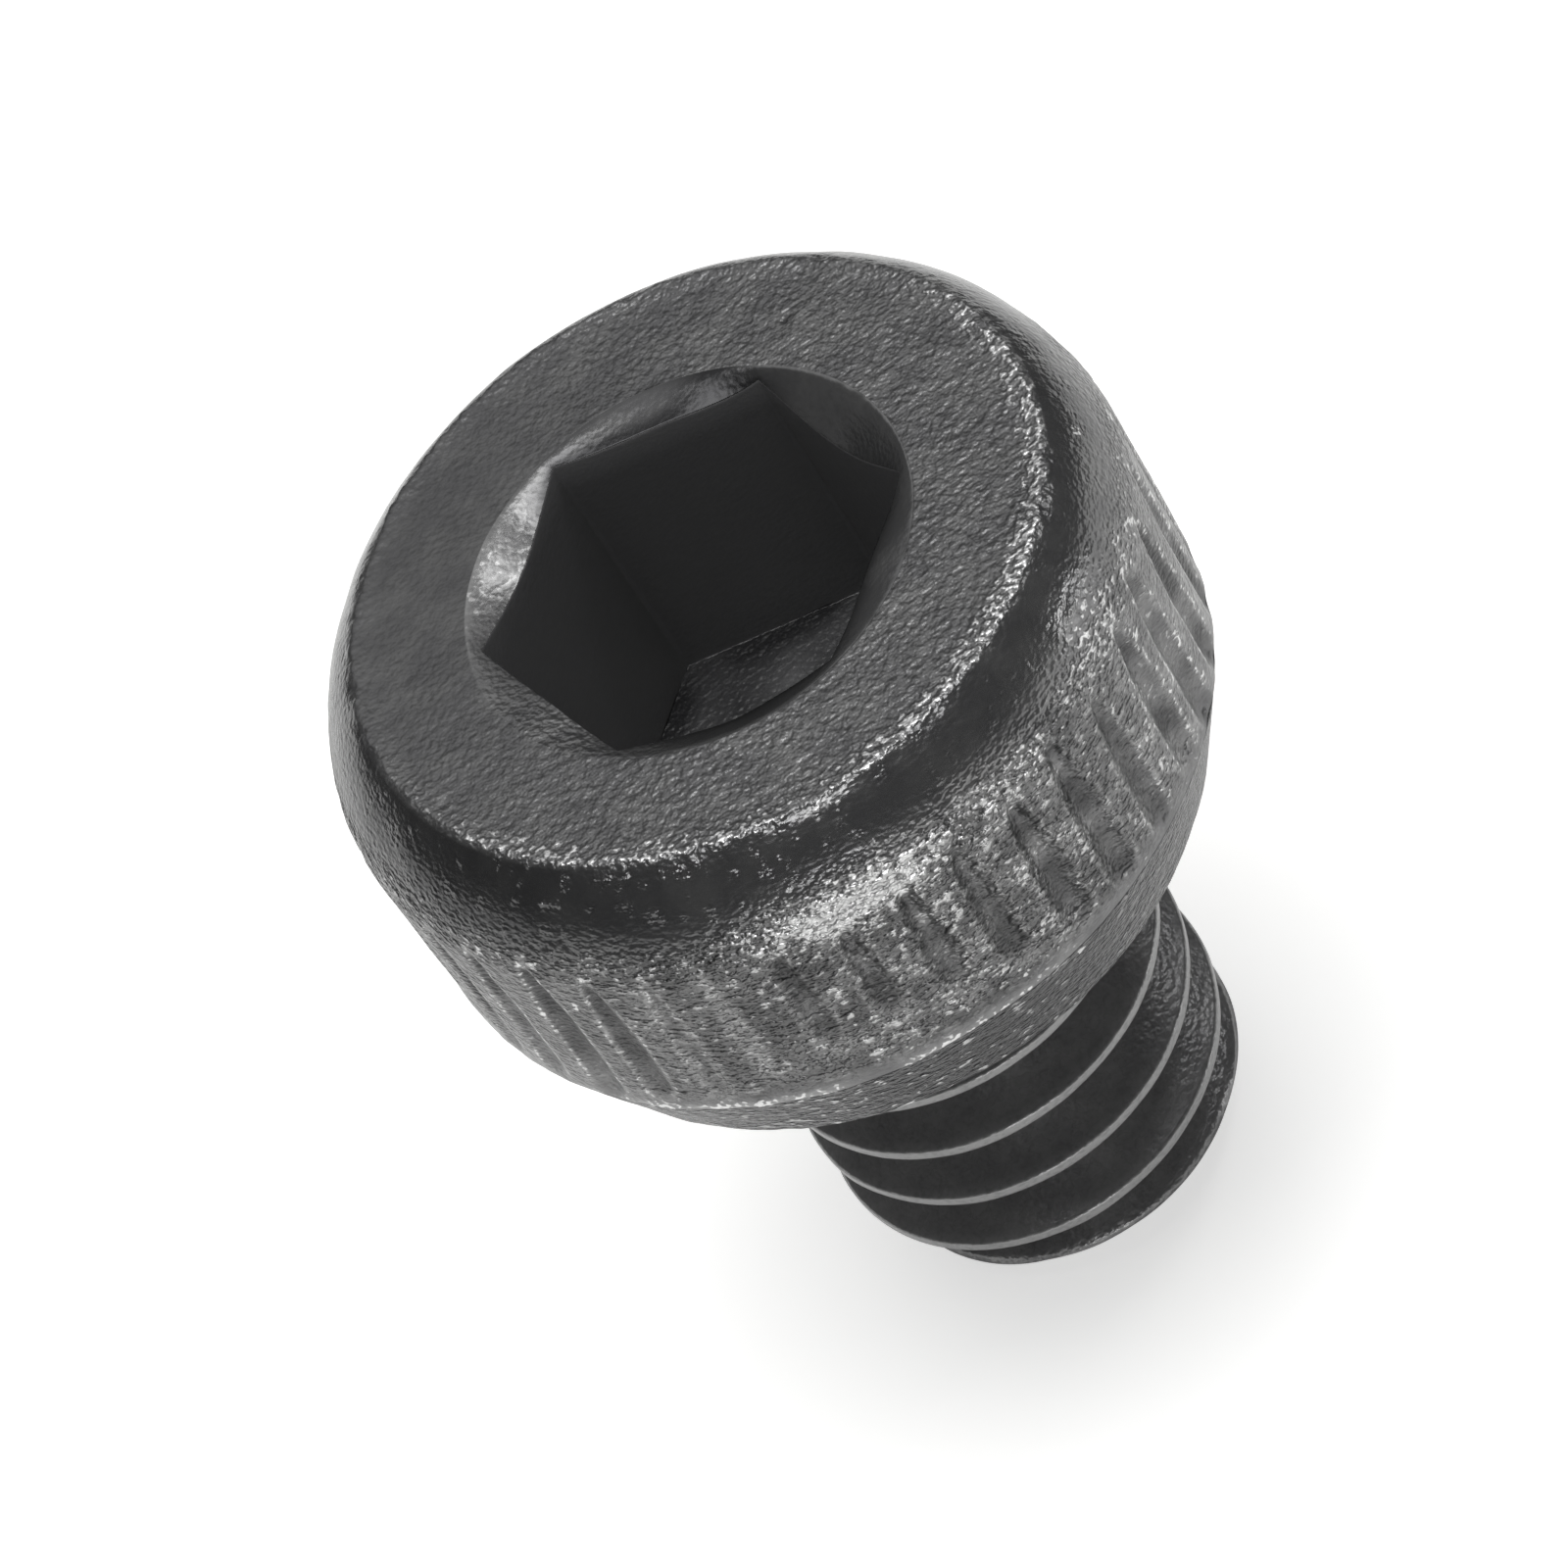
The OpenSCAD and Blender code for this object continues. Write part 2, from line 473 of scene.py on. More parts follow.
class ScrewForm:
    """The screw's form before its surface is roughened, from the sidebar's values."""

    def __init__(self, sizes, wear):
        self.sizes = sizes
        self.wear = wear
        s = sizes
        self.flank = math.tan(math.radians(30))
        self.crest_half = s.thread_pitch / 16
        self.thread_depth = (s.thread_pitch * 3 / 8 - self.crest_half) / self.flank
        self.core_radius = s.thread_radius - self.thread_depth
        self.neck_radius = s.thread_radius - self.thread_depth / 2
        self.tip_radius = s.thread_radius - s.tip_chamfer
        self.thread_top = self.crest_half + (self.thread_depth + ROOT_SINK) * self.flank
        self.thread_top += OVERLAP - s.neck_length
        cos_arc = math.cos(s.shoulder_arc)
        self.shoulder_radius = (s.crown_radius - s.head_radius * cos_arc) / (1 - cos_arc)
        self.shoulder_rise = s.shoulder_height / math.sin(s.shoulder_arc)
        self.knurl_top = s.head_height - s.shoulder_height
        self.socket_corner = s.socket_flats / 2 / math.cos(math.radians(30))
        self.countersink_radius = self.socket_corner + s.countersink_width
        self.floor_height = s.head_height - s.socket_depth
        self.crown_height = s.head_height - wear.lip_height
        # Each groove is a little out of place, and has its own push and its own two ends
        rng = np.random.default_rng(wear.seed)
        self.groove_offset = rng.normal(0, 0.05, s.groove_count)
        self.groove_push = rng.uniform(0.75, 1.15, s.groove_count)
        self.groove_top = rng.uniform(-0.10, 0.06, s.groove_count) * MM
        self.groove_end = rng.uniform(-0.02, 0.10, s.groove_count) * MM

    def core(self, z):
        """Radius of the shank without its thread at height z."""
        s = self.sizes
        rise = np.clip(1 + z / s.fillet_radius, 0.0, 1.0)
        neck = self.neck_radius + s.fillet_radius * (1 - np.sqrt(1 - rise**2))
        taper = self.neck_radius + np.minimum(0.0, z + s.neck_length)
        return np.where(z > -s.neck_length, neck, np.maximum(taper, self.core_radius))

    def thread(self, z, offset):
        """Radius of the threaded shank at height z, offset above the middle of the ridge."""
        s = self.sizes
        slope = np.maximum(np.abs(offset) - self.crest_half, 0.0)
        ridge = s.thread_radius - slope / self.flank
        turns = (self.thread_top - (z - offset)) / s.thread_pitch
        runout = self.neck_radius - OVERLAP + self.thread_depth * turns / s.runout_turns
        body = soft_max(soft_min(ridge, runout, CORNER), self.core(z), ROOT_CORNER)
        chamfer = self.tip_radius + z + s.shank_length
        return soft_min(body, chamfer, CORNER)

    def groove(self, angles, z):
        """Depth of the knurl's grooves below its lands."""
        s = self.sizes
        spacing = 2 * math.pi / s.groove_count
        turn = (angles - s.groove_turn) / spacing
        nearest = np.round(turn).astype(int)
        i = nearest % s.groove_count
        across = (turn - nearest - self.groove_offset[i]) * spacing * s.head_radius
        push = knurl_push(angles) * self.groove_push[i]
        # The wheel has run out of each groove in a taper at the top
        taper_start = 1.55 * MM
        taper_end = self.knurl_top + 0.42 * MM + self.groove_top[i]
        taper = 1 - smooth_step(taper_start, taper_end, z)
        half_width = s.groove_width / 2 * (0.85 + 0.4 * push) * (0.3 + 0.7 * taper)
        share_across = np.clip(np.abs(across) / half_width, 0.0, 1.0)
        depth = s.groove_depth * push * (1 - share_across**2) ** 1.5
        # Where the foot of the knurl is beaten flat, the grooves start higher and more slowly
        beaten = near(angles, BEATEN_KNURL)
        start = s.band_height - 0.06 * MM + self.groove_end[i] + 0.3 * MM * beaten
        fade = smooth_step(start - 0.05 * MM, start + (0.12 + 0.3 * beaten) * MM, z)
        return depth * fade * smooth_step(0.0, 0.3, taper)

    def side(self):
        """Radius and height of each ring of the head's side, up to the crown's edge."""
        s = self.sizes
        edge = 0.035 * MM
        outline = [
            (s.bearing_radius - edge, 0.0),
            (s.bearing_radius - 0.3 * edge, 0.12 * edge),
            (s.bearing_radius + 0.05 * edge, 0.5 * edge),
        ]
        # The rings lie closer together towards the edge between the band and the knurl
        band = np.concatenate([np.arange(0.04, 0.70, 0.085), [0.72, 0.745, 0.765, 0.785, 0.8]])
        flare = (s.head_radius - s.bearing_radius) / s.band_height
        outline += [(s.bearing_radius + flare * z, z) for z in band * MM]
        foot = s.band_height + np.array([0.0, 0.015, 0.03, 0.05, 0.08, 0.12]) * MM
        lands = np.linspace(s.band_height + 0.165 * MM, self.knurl_top - 0.02 * MM, 21)
        outline += [(s.head_radius, z) for z in np.concatenate([foot, lands])]
        across = s.head_radius - self.shoulder_radius
        for a in np.linspace(0, s.shoulder_arc, 19)[:-1]:
            radius = self.shoulder_radius + across * math.cos(a)
            outline.append((radius, self.knurl_top + self.shoulder_rise * math.sin(a)))
        return outline

    def crown_shift(self, angles):
        """How far the crown's edge has moved outwards, off the middle of the head."""
        return self.wear.crown_shift * np.cos(angle_gap(angles, self.wear.crown_shift_turn))

    def countersink_slope(self, angles):
        """Slope of the countersink, which the punch has left steeper on some of its sides."""
        turn = (angles - self.sizes.socket_turn) / math.radians(60) + 0.5
        side = np.floor(turn).astype(int) % 6
        share_on = turn - np.floor(turn)
        before, after = np.array(SIDE_SLOPES)[side - 1], np.array(SIDE_SLOPES)[side]
        return before + (after - before) * smooth_step(0.0, 1.0, share_on)

    def hexagon(self, angles):
        """Distance from the axis to the socket's wall."""
        s = self.sizes
        turn = (angles - s.socket_turn) % math.radians(60) - math.radians(30)
        return s.socket_flats / 2 / np.cos(turn)


def build_tip(skin, form):
    """The flat end of the shank, up to the lowest ring of the thread."""
    angles = around(SHANK_COLUMNS)
    bottom = -form.sizes.shank_length
    (first_share, first_lift), *rest = TIP_RINGS
    pole = skin.add(np.zeros(1), 0.0, bottom + first_lift * MM)
    ring = skin.add(angles, form.tip_radius * first_share, bottom + first_lift * MM)
    skin.close(ring, pole, upwards=False)
    for share_out, lift in rest:
        ring = skin.grow(ring, angles, form.tip_radius * share_out, bottom + lift * MM)
    return ring


def shank_marks(form, z, radius, offset):
    """Finish of the thread, whose crests are rubbed and smooth, and of the tip's chamfer, which is
    rubbed lighter all round and carries a painted highlight.
    """
    aside = abs(offset)
    crest = smooth_step(1.36 * MM, 1.47 * MM, radius)
    chamfer = smooth_step(0.34 * MM, 0.2 * MM, z + form.sizes.shank_length)
    worn = crest * (1 - smooth_step(0.03 * MM, 0.09 * MM, aside))
    beside = smooth_step(0.055 * MM, 0.07 * MM, aside) * (1 - smooth_step(0.07 * MM, 0.1 * MM, aside))
    return {
        "rubbed": np.maximum(0.19 + 0.42 * worn, 0.5 * chamfer),
        "grit": 0.18 - 0.1 * crest,
        "gloss": 0.1 - 0.1 * beside,
    }


def build_shank(skin, form, ring):
    """The thread, wound so that its crest and flanks each follow a row of points."""
    s = form.sizes
    pitch = s.thread_pitch
    n = SHANK_COLUMNS
    angles = around(n)
    # Heights of the rows over one turn of the thread, from the middle of its crest
    aside = [0.02, 0.036, 0.05, 0.078, 0.12, 0.165, 0.205, 0.24]
    offsets = np.array([-height for height in reversed(aside)] + [0.0] + aside + [0.3]) * MM
    low = -s.shank_length + 0.03 * MM
    high = -0.06 * MM
    start = -s.thread_turn / (2 * math.pi) * pitch
    first = math.floor((low - pitch - start) / pitch) - 1
    last = math.ceil((high - start) / pitch) + 1
    rows = [(start + m * pitch + o, o) for m in range(first, last + 1) for o in offsets]
    per_turn = len(offsets)

    low_ring = skin.grow(ring, angles, form.tip_radius + 0.02 * MM, low)
    high_ring = skin.add(angles, form.core(np.full(n, high)), high)
    # A row's points that come this near to the lowest or the highest ring are that ring's own
    snap = 0.006 * MM
    grid = np.empty((len(rows), n), dtype=int)
    rise = angles / (2 * math.pi) * pitch
    for k, (height, offset) in enumerate(rows):
        z = height + rise
        grid[k] = np.where(z <= low + snap, low_ring, high_ring)
        inside = (z > low + snap) & (z < high - snap)
        if inside.any():
            zi = z[inside]
            radius = form.thread(zi, offset)
            marks = shank_marks(form, zi, radius, offset)
            grid[k][inside] = skin.add(angles[inside], radius, zi, **marks)

    for k in range(len(rows) - 1):
        for j in range(n):
            if j < n - 1:
                on, on_above = grid[k, j + 1], grid[k + 1, j + 1]
            elif k + 1 + per_turn < len(rows):
                # Once round, a row goes on as the row that lies one turn higher
                on, on_above = grid[k + per_turn, 0], grid[k + 1 + per_turn, 0]
            else:
                continue
            corners = tuple(dict.fromkeys((grid[k, j], on, on_above, grid[k + 1, j])))
            if len(corners) > 2:
                skin.faces.append(corners)
    return high_ring


def build_underside(skin, form, ring):
    """The fillet under the head and its flat bearing face."""
    angles = around(SHANK_COLUMNS)
    for z in (-0.035 * MM, -0.016 * MM, -0.005 * MM):
        ring = skin.grow(ring, angles, form.core(np.full(len(angles), z)), z, grit=0.2)
    fillet_end = form.neck_radius + form.sizes.fillet_radius
    for radius in (fillet_end, 1.66 * MM, 1.9 * MM, 2.15 * MM, 2.36 * MM):
        ring = skin.grow(ring, angles, radius, 0.0, grit=0.3)
    return ring


def nick_marks(angles, radius, up):
    """1 in the middle of each painted glint, falling to 0 round it, at a height in mm up the head."""
    marks = np.zeros(len(angles))
    for degrees, nick_up, size in NICKS:
        across = angle_gap(angles, math.radians(degrees)) * radius / (size * MM / 2)
        nick = np.exp(-(across**2) - ((up - nick_up) / (size / 2)) ** 2)
        marks = np.maximum(marks, nick)
    return marks


def side_marks(form, angles, points, radius, z, depth, burr, waves, long_waves):
    """Finish of one ring of the head's side; heights up the head are in mm here."""
    seed = form.wear.seed
    up = z / MM
    chips = lumpiness(points, 0.09 * MM, seed + 9)
    clumps = lumpiness(points, 0.3 * MM, seed + 11)
    hollow = np.clip(depth / form.sizes.groove_depth, 0.0, 1.0)
    band = up < 0.8
    knurl = smooth_step(0.8, 1.0, up) * (1 - smooth_step(2.34, 2.62, up + 0.1 * long_waves))
    shoulder = smooth_step(2.3, 2.55, up)
    # Painted highlights in the rubbed and steel colours run along the edges of the ribs on both sides
    # of each groove, and the ribs are cleanest where the wheel was pressed hardest
    rib = smooth_step(0.0, 0.1, hollow) * (1 - smooth_step(0.15, 0.45, hollow))
    clean = np.maximum(near(angles, HARDEST_PRESSED), 0.8 * near(angles, CLEAN_RIBS))
    # Two patches and a band round the knee, where the knurl turns into the shoulder, are worn bright
    # and carry painted highlights in the rubbed and steel colours
    patch = hump(up, 2.33, 0.15) * near(angles, BRIGHT_PATCH)
    patch += 0.25 * hump(up, 2.42, 0.2) * near(angles, SMALL_PATCH)
    patch *= 1 + 0.5 * chips
    knee = hump(up, 2.36, 0.14)
    # Bare and dark flecks lie thickest at the front
    frontal = 0.2 + 0.8 * near(angles, FRONT)
    flecked = knurl * (1 - hollow) * frontal

    bare = 1.3 * patch + 0.1 * knee + 0.9 * burr * (0.8 + 0.9 * waves)
    bare += 0.24 * knurl * smooth_step(0.0, 0.4, clumps) * frontal
    bare += 0.42 * rib * knurl * clean
    bare += 0.45 * flecked * smooth_step(0.2, 0.45, chips)
    # Painted glints in bare steel colour
    bare = np.maximum(bare, 1.1 * nick_marks(angles, radius, up))

    rubbed = 1.1 * patch + 1.1 * burr + 0.3 * knurl * (1 - hollow) + 0.7 * rib * knurl
    rubbed += 0.5 * knurl * smooth_step(0.0, 0.4, clumps) * frontal

    # The plain band is as rough as the knurl at the front, and smoother elsewhere
    strength = knurl * (1 - 0.55 * hollow) * (1 - 0.62 * clean)
    strength *= 1 - 0.4 * np.clip(patch, 0.0, 1.0)
    band_grit = 0.44 + 0.42 * near(angles, ROUGH_BAND)
    fleck_share = 0.1 + 0.2 * near(angles, SHOULDER_FLECKS) + 0.22 * near(angles, MORE_SHOULDER_FLECKS)
    flecks = smooth_step(0.15, 0.45, chips) * fleck_share
    grit = 0.11 + 0.89 * strength + band_grit * band + shoulder * flecks

    # Painted shade darkens the grooves' hollows, the plain band under the knurl and three sides of the
    # head; random clumps and flecks are darker too
    dark = 0.22 * hollow * knurl + 0.74 * band + 0.3 * near(angles, DARK_RIGHT)
    dark += (0.75 - 0.15 * shoulder) * smooth_step(0.9, 2.0, up) * near(angles, DARK_LEFT)
    dark += 0.5 * knurl * smooth_step(0.05, -0.35, clumps)
    dark += 0.3 * (smooth_step(0.9, 1.2, up) - 0.9 * shoulder) * near(angles, DARK_LOW_LEFT)
    dark += 0.45 * flecked * smooth_step(-0.15, -0.45, chips)
    return {
        "bare": bare,
        "rubbed": np.clip(rubbed, 0.0, 1.0),
        "grit": grit,
        "gloss": smooth_step(2.35, 2.75, up),
        "dark": dark,
    }


def build_side(skin, form, ring):
    """The plain band, the knurl with its ribs, whose edges carry painted highlights, and the rounded
    shoulder.
    """
    s, w = form.sizes, form.wear
    angles = around(HEAD_COLUMNS)
    # The lands lie a little inside the part's, which leaves room for the lumps
    land = s.head_radius - 0.012 * MM
    waves = ring_noise(angles, 0.16 * MM, s.head_radius, w.seed)
    long_waves = ring_noise(angles, 1.3 * MM, s.head_radius, w.seed + 20)
    shift = form.crown_shift(angles)
    # The burr under the knurl is heaviest on one side and nearly gone a third of a turn on
    gaps = ring_noise(angles, 0.4 * MM, s.head_radius, w.seed + 8)
    burr_here = (0.08 + 0.92 * near(angles, HEAVY_BURR)) * smooth_step(-0.5, 0.3, gaps)
    burr_z = s.band_height + (0.012 * long_waves + 0.008 * waves) * MM
    for radius, z in form.side():
        toward_crown = smooth_step(form.knurl_top + 0.2 * MM, s.head_height, z)
        depth = form.groove(angles, np.full(HEAD_COLUMNS, z))
        radii = soft_min(min(radius, land) + shift * toward_crown, s.head_radius - depth, CORNER)
        burr = hump(z, burr_z, 0.03 * MM) * burr_here
        radii = radii + burr * w.burr_height * (0.6 + 0.9 * waves)
        points = ring_points(angles, radii, z)
        marks = side_marks(form, angles, points, radius, z, depth, burr, waves, long_waves)
        ring = skin.grow(ring, angles, radii, z, **marks)
    return ring


def build_crown(skin, form, ring):
    """The ragged lip round the crown and the flat crown."""
    s, w = form.sizes, form.wear
    angles = around(HEAD_COLUMNS)
    ragged = ring_noise(angles, 0.15 * MM, s.crown_radius, w.seed + 1)
    fine = ring_noise(angles, 0.06 * MM, s.crown_radius, w.seed + 2)
    edge = s.crown_radius + form.crown_shift(angles) + (0.022 * ragged + 0.012 * fine) * MM
    # The lip is rubbed most on one side, and not at all on the side across from it
    rubbed = 0.95 * near(angles, RUBBED_LIP) + 0.6 * near(angles, LESS_RUBBED_LIP)
    rubbed = np.clip(rubbed, 0.0, 1.0)
    crown_grit = 0.34 - 0.22 * near(angles, SMOOTH_CROWN)
    # Painted shade darkens one side of the crown
    crown_dark = 0.36 * near(angles, DARK_CROWN)
    for inside, lip, bare in LIP_RINGS:
        lift = np.clip(lip + lip * (0.4 * fine + 0.4 * ragged), -0.5, 1.0)
        spread = np.clip(bare + 0.25 * ragged + 0.15 * fine, 0.0, 1.0)
        marks = {
            "bare": spread * rubbed,
            "rubbed": 0.9 * spread * rubbed,
            "grit": crown_grit + 0.1 * rubbed,
            "dark": crown_dark,
        }
        height = form.crown_height + w.lip_height * lift
        ring = skin.grow(ring, angles, edge - inside * MM, height, **marks)

    outer = edge - LIP_RINGS[-1][0] * MM
    inner = form.countersink_radius + 0.02 * MM
    for t in np.linspace(0, 1, 13)[1:]:
        radii = outer * (1 - t) + inner * t
        pit = hump(angle_gap(angles, math.radians(PIT_DEGREES)) * radii, 0.0, PIT_WIDTH)
        pit *= hump(radii, PIT_RADIUS, PIT_WIDTH)
        # Painted shade in the pit
        dark = np.maximum(crown_dark, 0.9 * pit)
        height = form.crown_height - PIT_DEPTH * pit
        ring = skin.grow(ring, angles, radii, height, grit=crown_grit, dark=dark)
    return ring


def build_countersink(skin, form, ring):
    """The countersink, down to the hexagon's edge; returns its last ring and that edge's height."""
    angles = around(SOCKET_COLUMNS)
    outer = form.countersink_radius
    wall = form.hexagon(angles)
    slope = form.countersink_slope(angles)
    # One side of the countersink is scraped bright in fine strokes down its slope, and carries a
    # painted highlight as well; another side is lightened by a painted sheen
    strokes = ring_noise(angles, 0.035 * MM, outer, form.wear.seed + 6)
    bright = near(angles, SCRAPED_SIDE)
    coarse = near(angles, COARSE_SIDE)
    rubbed = np.clip(bright * (0.85 + 0.35 * strokes), 0.0, 1.0) + 0.3 * near(angles, RUBBED_SIDE)
    edge_shade = np.clip(1 - 0.8 * bright - near(angles, CLEAN_EDGE), 0.0, 1.0)
    for down, shade in COUNTERSINK_RINGS:
        radii = outer + (wall - outer) * down
        height = form.crown_height - np.maximum(outer - radii, 0.0) * slope
        # Painted shade darkens two sides of the countersink and deepens down towards the hexagon's
        # edge, less on its scraped side and at one edge
        dark = 0.55 * near(angles, DARK_SIDE) + near(angles, DARKEST_SIDE)
        dark += shade * edge_shade
        dark += 0.26 * bright * smooth_step(0.1, -0.4, strokes)
        marks = {
            "bare": 0.15 * bright,
            "rubbed": rubbed,
            "grit": 0.05 + 0.3 * coarse,
            "gloss": 1.0 - 0.8 * coarse,
            "dark": np.clip(dark, 0.0, 1.0) * (1 - coarse),
        }
        ring = skin.grow(ring, angles, radii, height, **marks)
    return ring, form.crown_height - (outer - wall) * slope


def build_socket(skin, form, ring, top):
    """The hexagon socket's six walls and its floor."""
    angles = around(SOCKET_COLUMNS)
    wall = form.hexagon(angles)
    bottom = form.floor_height
    # The walls stand this little way inside the hexagon
    inset = 0.002 * MM
    for down in (0.002, 0.012, 0.06, 0.2, 0.4, 0.6, 0.8, 0.95, 0.99, 0.9985):
        height = top + (bottom - top) * down
        ring = skin.grow(ring, angles, wall - inset, height, soot=1.0, grit=0.05)
    for share_in in (0.9985, 0.99, 0.95, 0.9, 0.8, 0.6, 0.4, 0.2, 0.08):
        # The floor is darker in random clouds, and painted shade darkens it more towards the foot of
        # the walls
        clouds = ring_noise(angles, 0.4 * MM, 1.2 * MM * share_in, form.wear.seed + 10)
        dark = np.clip(0.66 - 0.6 * clouds + 0.34 * smooth_step(0.75, 1.0, share_in), 0.0, 1.0)
        ring = skin.grow(ring, angles, wall * share_in, bottom, soot=1.0, dark=dark, grit=0.3)
    pole = skin.add(np.zeros(1), 0.0, bottom)
    skin.close(ring, pole, upwards=True)


def point_normals(points, faces):
    """Unit normals of the skin's points, from the faces round each."""
    normals = np.zeros_like(points)
    corners = np.array([f if len(f) == 4 else (f[0], f[1], f[2], f[2]) for f in faces])
    across = points[corners[:, 2]] - points[corners[:, 0]]
    along = points[corners[:, 3]] - points[corners[:, 1]]
    face_normals = np.cross(across, along)
    for c in range(4):
        np.add.at(normals, corners[:, c], face_normals)
    return normals / np.maximum(np.linalg.norm(normals, axis=1, keepdims=True), 1e-20)


def roughen(points, faces, form, grit):
    """Moves the points in and out by lumps of three sizes, within the part's own box."""
    w, s = form.wear, form.sizes
    height = w.hammered * lumpiness(points, BROAD_LUMP, w.seed + 3)
    height += w.lumps * lumpiness(points, SMALL_LUMP, w.seed + 4)
    height += w.pores * lumpiness(points, FINE_LUMP, w.seed + 5) * grit
    # The whole skin is sunk a little, so that few of the lumps have to be held back
    height -= 0.2 * w.hammered
    moved = points + point_normals(points, faces) * height[:, None]
    reach = np.maximum(np.hypot(moved[:, 0], moved[:, 1]), 1e-9)
    moved[:, :2] *= np.minimum(1.0, s.head_radius / reach)[:, None]
    moved[:, 2] = np.clip(moved[:, 2], -s.shank_length, s.head_height)
    return moved


def build_skin(form):
    """The whole skin, from the middle of the tip to the middle of the socket."""
    skin = Skin()
    ring = build_tip(skin, form)
    ring = build_shank(skin, form, ring)
    ring = build_underside(skin, form, ring)
    ring = build_side(skin, form, ring)
    ring = build_crown(skin, form, ring)
    ring, socket_top = build_countersink(skin, form, ring)
    build_socket(skin, form, ring, socket_top)
    return skin


def screw_material(finish):
    """Black oxide on a cold-headed steel screw.

    It reads as a thin, dark, satin skin with a fine pickled grain, which lets the metal's broad
    highlights through. It is rubbed lighter along the thread's crests, and it is worn through to
    bright steel on the crown's lip, on the burr and where the knurl is most exposed. Painted
    highlights and glints lie on the knurl, the countersink and the tip, and painted shade darkens
    the grooves, the band, some sides of the head, crown and countersink, the pit and the socket.
    """
    material, tree = new_material("black_oxide_steel")
    bare, rubbed, grit, soot, gloss, dark = (
        add_node(tree, "ShaderNodeAttribute", {"attribute_name": name}, output="Fac")
        for name in MARKS
    )
    smooth = {"interpolation_type": "SMOOTHSTEP"}
    times = {"operation": "MULTIPLY"}
    larger = {"operation": "MAXIMUM"}
    power = {"operation": "POWER"}
    blend = {"data_type": "RGBA"}

    place = add_node(tree, "ShaderNodeTexCoord", output="Object")
    # Turning has drawn the grain out round the head, so it is flatter than it is wide
    flat_place = add_node(tree, "ShaderNodeVectorMath", times, {0: place, 1: (1.0, 1.0, 1.6)})
    grain, flakes, mottle = (
        add_node(
            tree,
            "ShaderNodeTexNoise",
            {},
            {"Vector": where, "Scale": 1 / size, "Detail": detail, "Roughness": roughness},
            "Fac",
        )
        for where, size, detail, roughness in (
            (flat_place, finish.grain_size, 1.0, 0.4),
            (flat_place, finish.flake_size, 2.0, 0.5),
            (place, finish.mottle_size, 3.0, 0.6),
        )
    )

    # The dark mark, which is darker oxide in places and painted shade elsewhere, takes the crease
    # colour, and so do the hollows between flakes where the grit is strong
    low_range = {"Value": flakes, "From Min": 0.5, "From Max": 0.36, "To Max": 0.7}
    low = add_node(tree, MAP_RANGE, smooth, low_range)
    low_grit = add_node(tree, MATH, times, {0: low, 1: grit})
    shade = add_node(tree, MATH, larger, {0: low_grit, 1: dark})

    # The tops of the grain are rubbed most, and painted highlights lie most on them too
    high_range = {"Value": grain, "From Min": 0.3, "From Max": 0.55, "To Min": 0.55}
    high = add_node(tree, MAP_RANGE, smooth, high_range)
    polish = add_node(tree, MATH, times, {0: rubbed, 1: high})

    # They also wear through to the steel first, and bare steel colour paints glints and highlights
    # there; on the knurl single flakes have come off, and these specks also stand in for its glints
    peaks = add_node(tree, MAP_RANGE, smooth, {"Value": grain, "From Min": 0.3, "From Max": 0.7})
    tops = add_node(tree, MATH, {"operation": "ADD"}, {0: bare, 1: peaks})
    through = add_node(tree, MAP_RANGE, smooth, {"Value": tops, "From Min": 1.0, "From Max": 1.25})
    lost = add_node(tree, MAP_RANGE, smooth, {"Value": flakes, "From Min": 0.62, "From Max": 0.68})
    on_knurl = add_node(tree, MATH, power, {0: grit, 1: 4.0})
    lost_here = add_node(tree, MATH, times, {0: lost, 1: on_knurl})
    worn = add_node(tree, MATH, larger, {0: through, 1: lost_here})

    # Fine creases run between the flakes
    middle = add_node(tree, MATH, {"operation": "SUBTRACT"}, {0: flakes, 1: 0.5})
    aside = add_node(tree, MATH, {"operation": "ABSOLUTE"}, {0: middle})
    crease_range = {"Value": aside, "From Min": 0.04, "From Max": 0.0, "To Max": 0.9}
    crease = add_node(tree, MAP_RANGE, smooth, crease_range)
    creased = add_node(tree, MATH, times, {0: crease, 1: grit})

    # Layers of colour, each over the ones before it: whole oxide, thinner oxide, soot in the
    # socket, dark hollows with darker oxide and painted shade, rubbed tops and painted highlights,
    # bare steel and painted glints, and creases
    thin = add_node(tree, MAP_RANGE, smooth, {"Value": mottle, "From Min": 0.35, "From Max": 0.7})
    layers = tuple(finish.oxide_colour)
    for layer, cover in (
        (finish.thin_oxide_colour, thin),
        (finish.soot_colour, soot),
        (finish.crease_colour, shade),
        (finish.rubbed_colour, polish),
        (finish.steel_colour, worn),
        (finish.crease_colour, creased),
    ):
        mix_inputs = {MIX_SHARE: cover, COLOUR_A: layers, COLOUR_B: tuple(layer)}
        layers = add_node(tree, MIX, blend, mix_inputs, COLOUR_RESULT)

    satin_range = {"To Min": finish.oxide_roughness, "To Max": finish.smooth_roughness}
    satin = add_node(tree, MAP_RANGE, {}, {"Value": gloss, **satin_range})
    rough_inputs = {MIX_SHARE: worn, NUMBER_A: satin, NUMBER_B: finish.steel_roughness}
    rough = add_node(tree, MIX, {"data_type": "FLOAT"}, rough_inputs)
    # Soot is no metal
    metal = add_node(tree, MAP_RANGE, {}, {"Value": soot, "To Min": 0.85, "To Max": 0.0})

    # Flakes stand up only where the grit is strong
    strong = add_node(tree, MATH, power, {0: grit, 1: 2.0})
    coarse = add_node(tree, MATH, times, {0: flakes, 1: strong})
    relief = add_node(tree, MATH, {"operation": "MULTIPLY_ADD"}, {0: coarse, 1: 3.0, 2: grain})
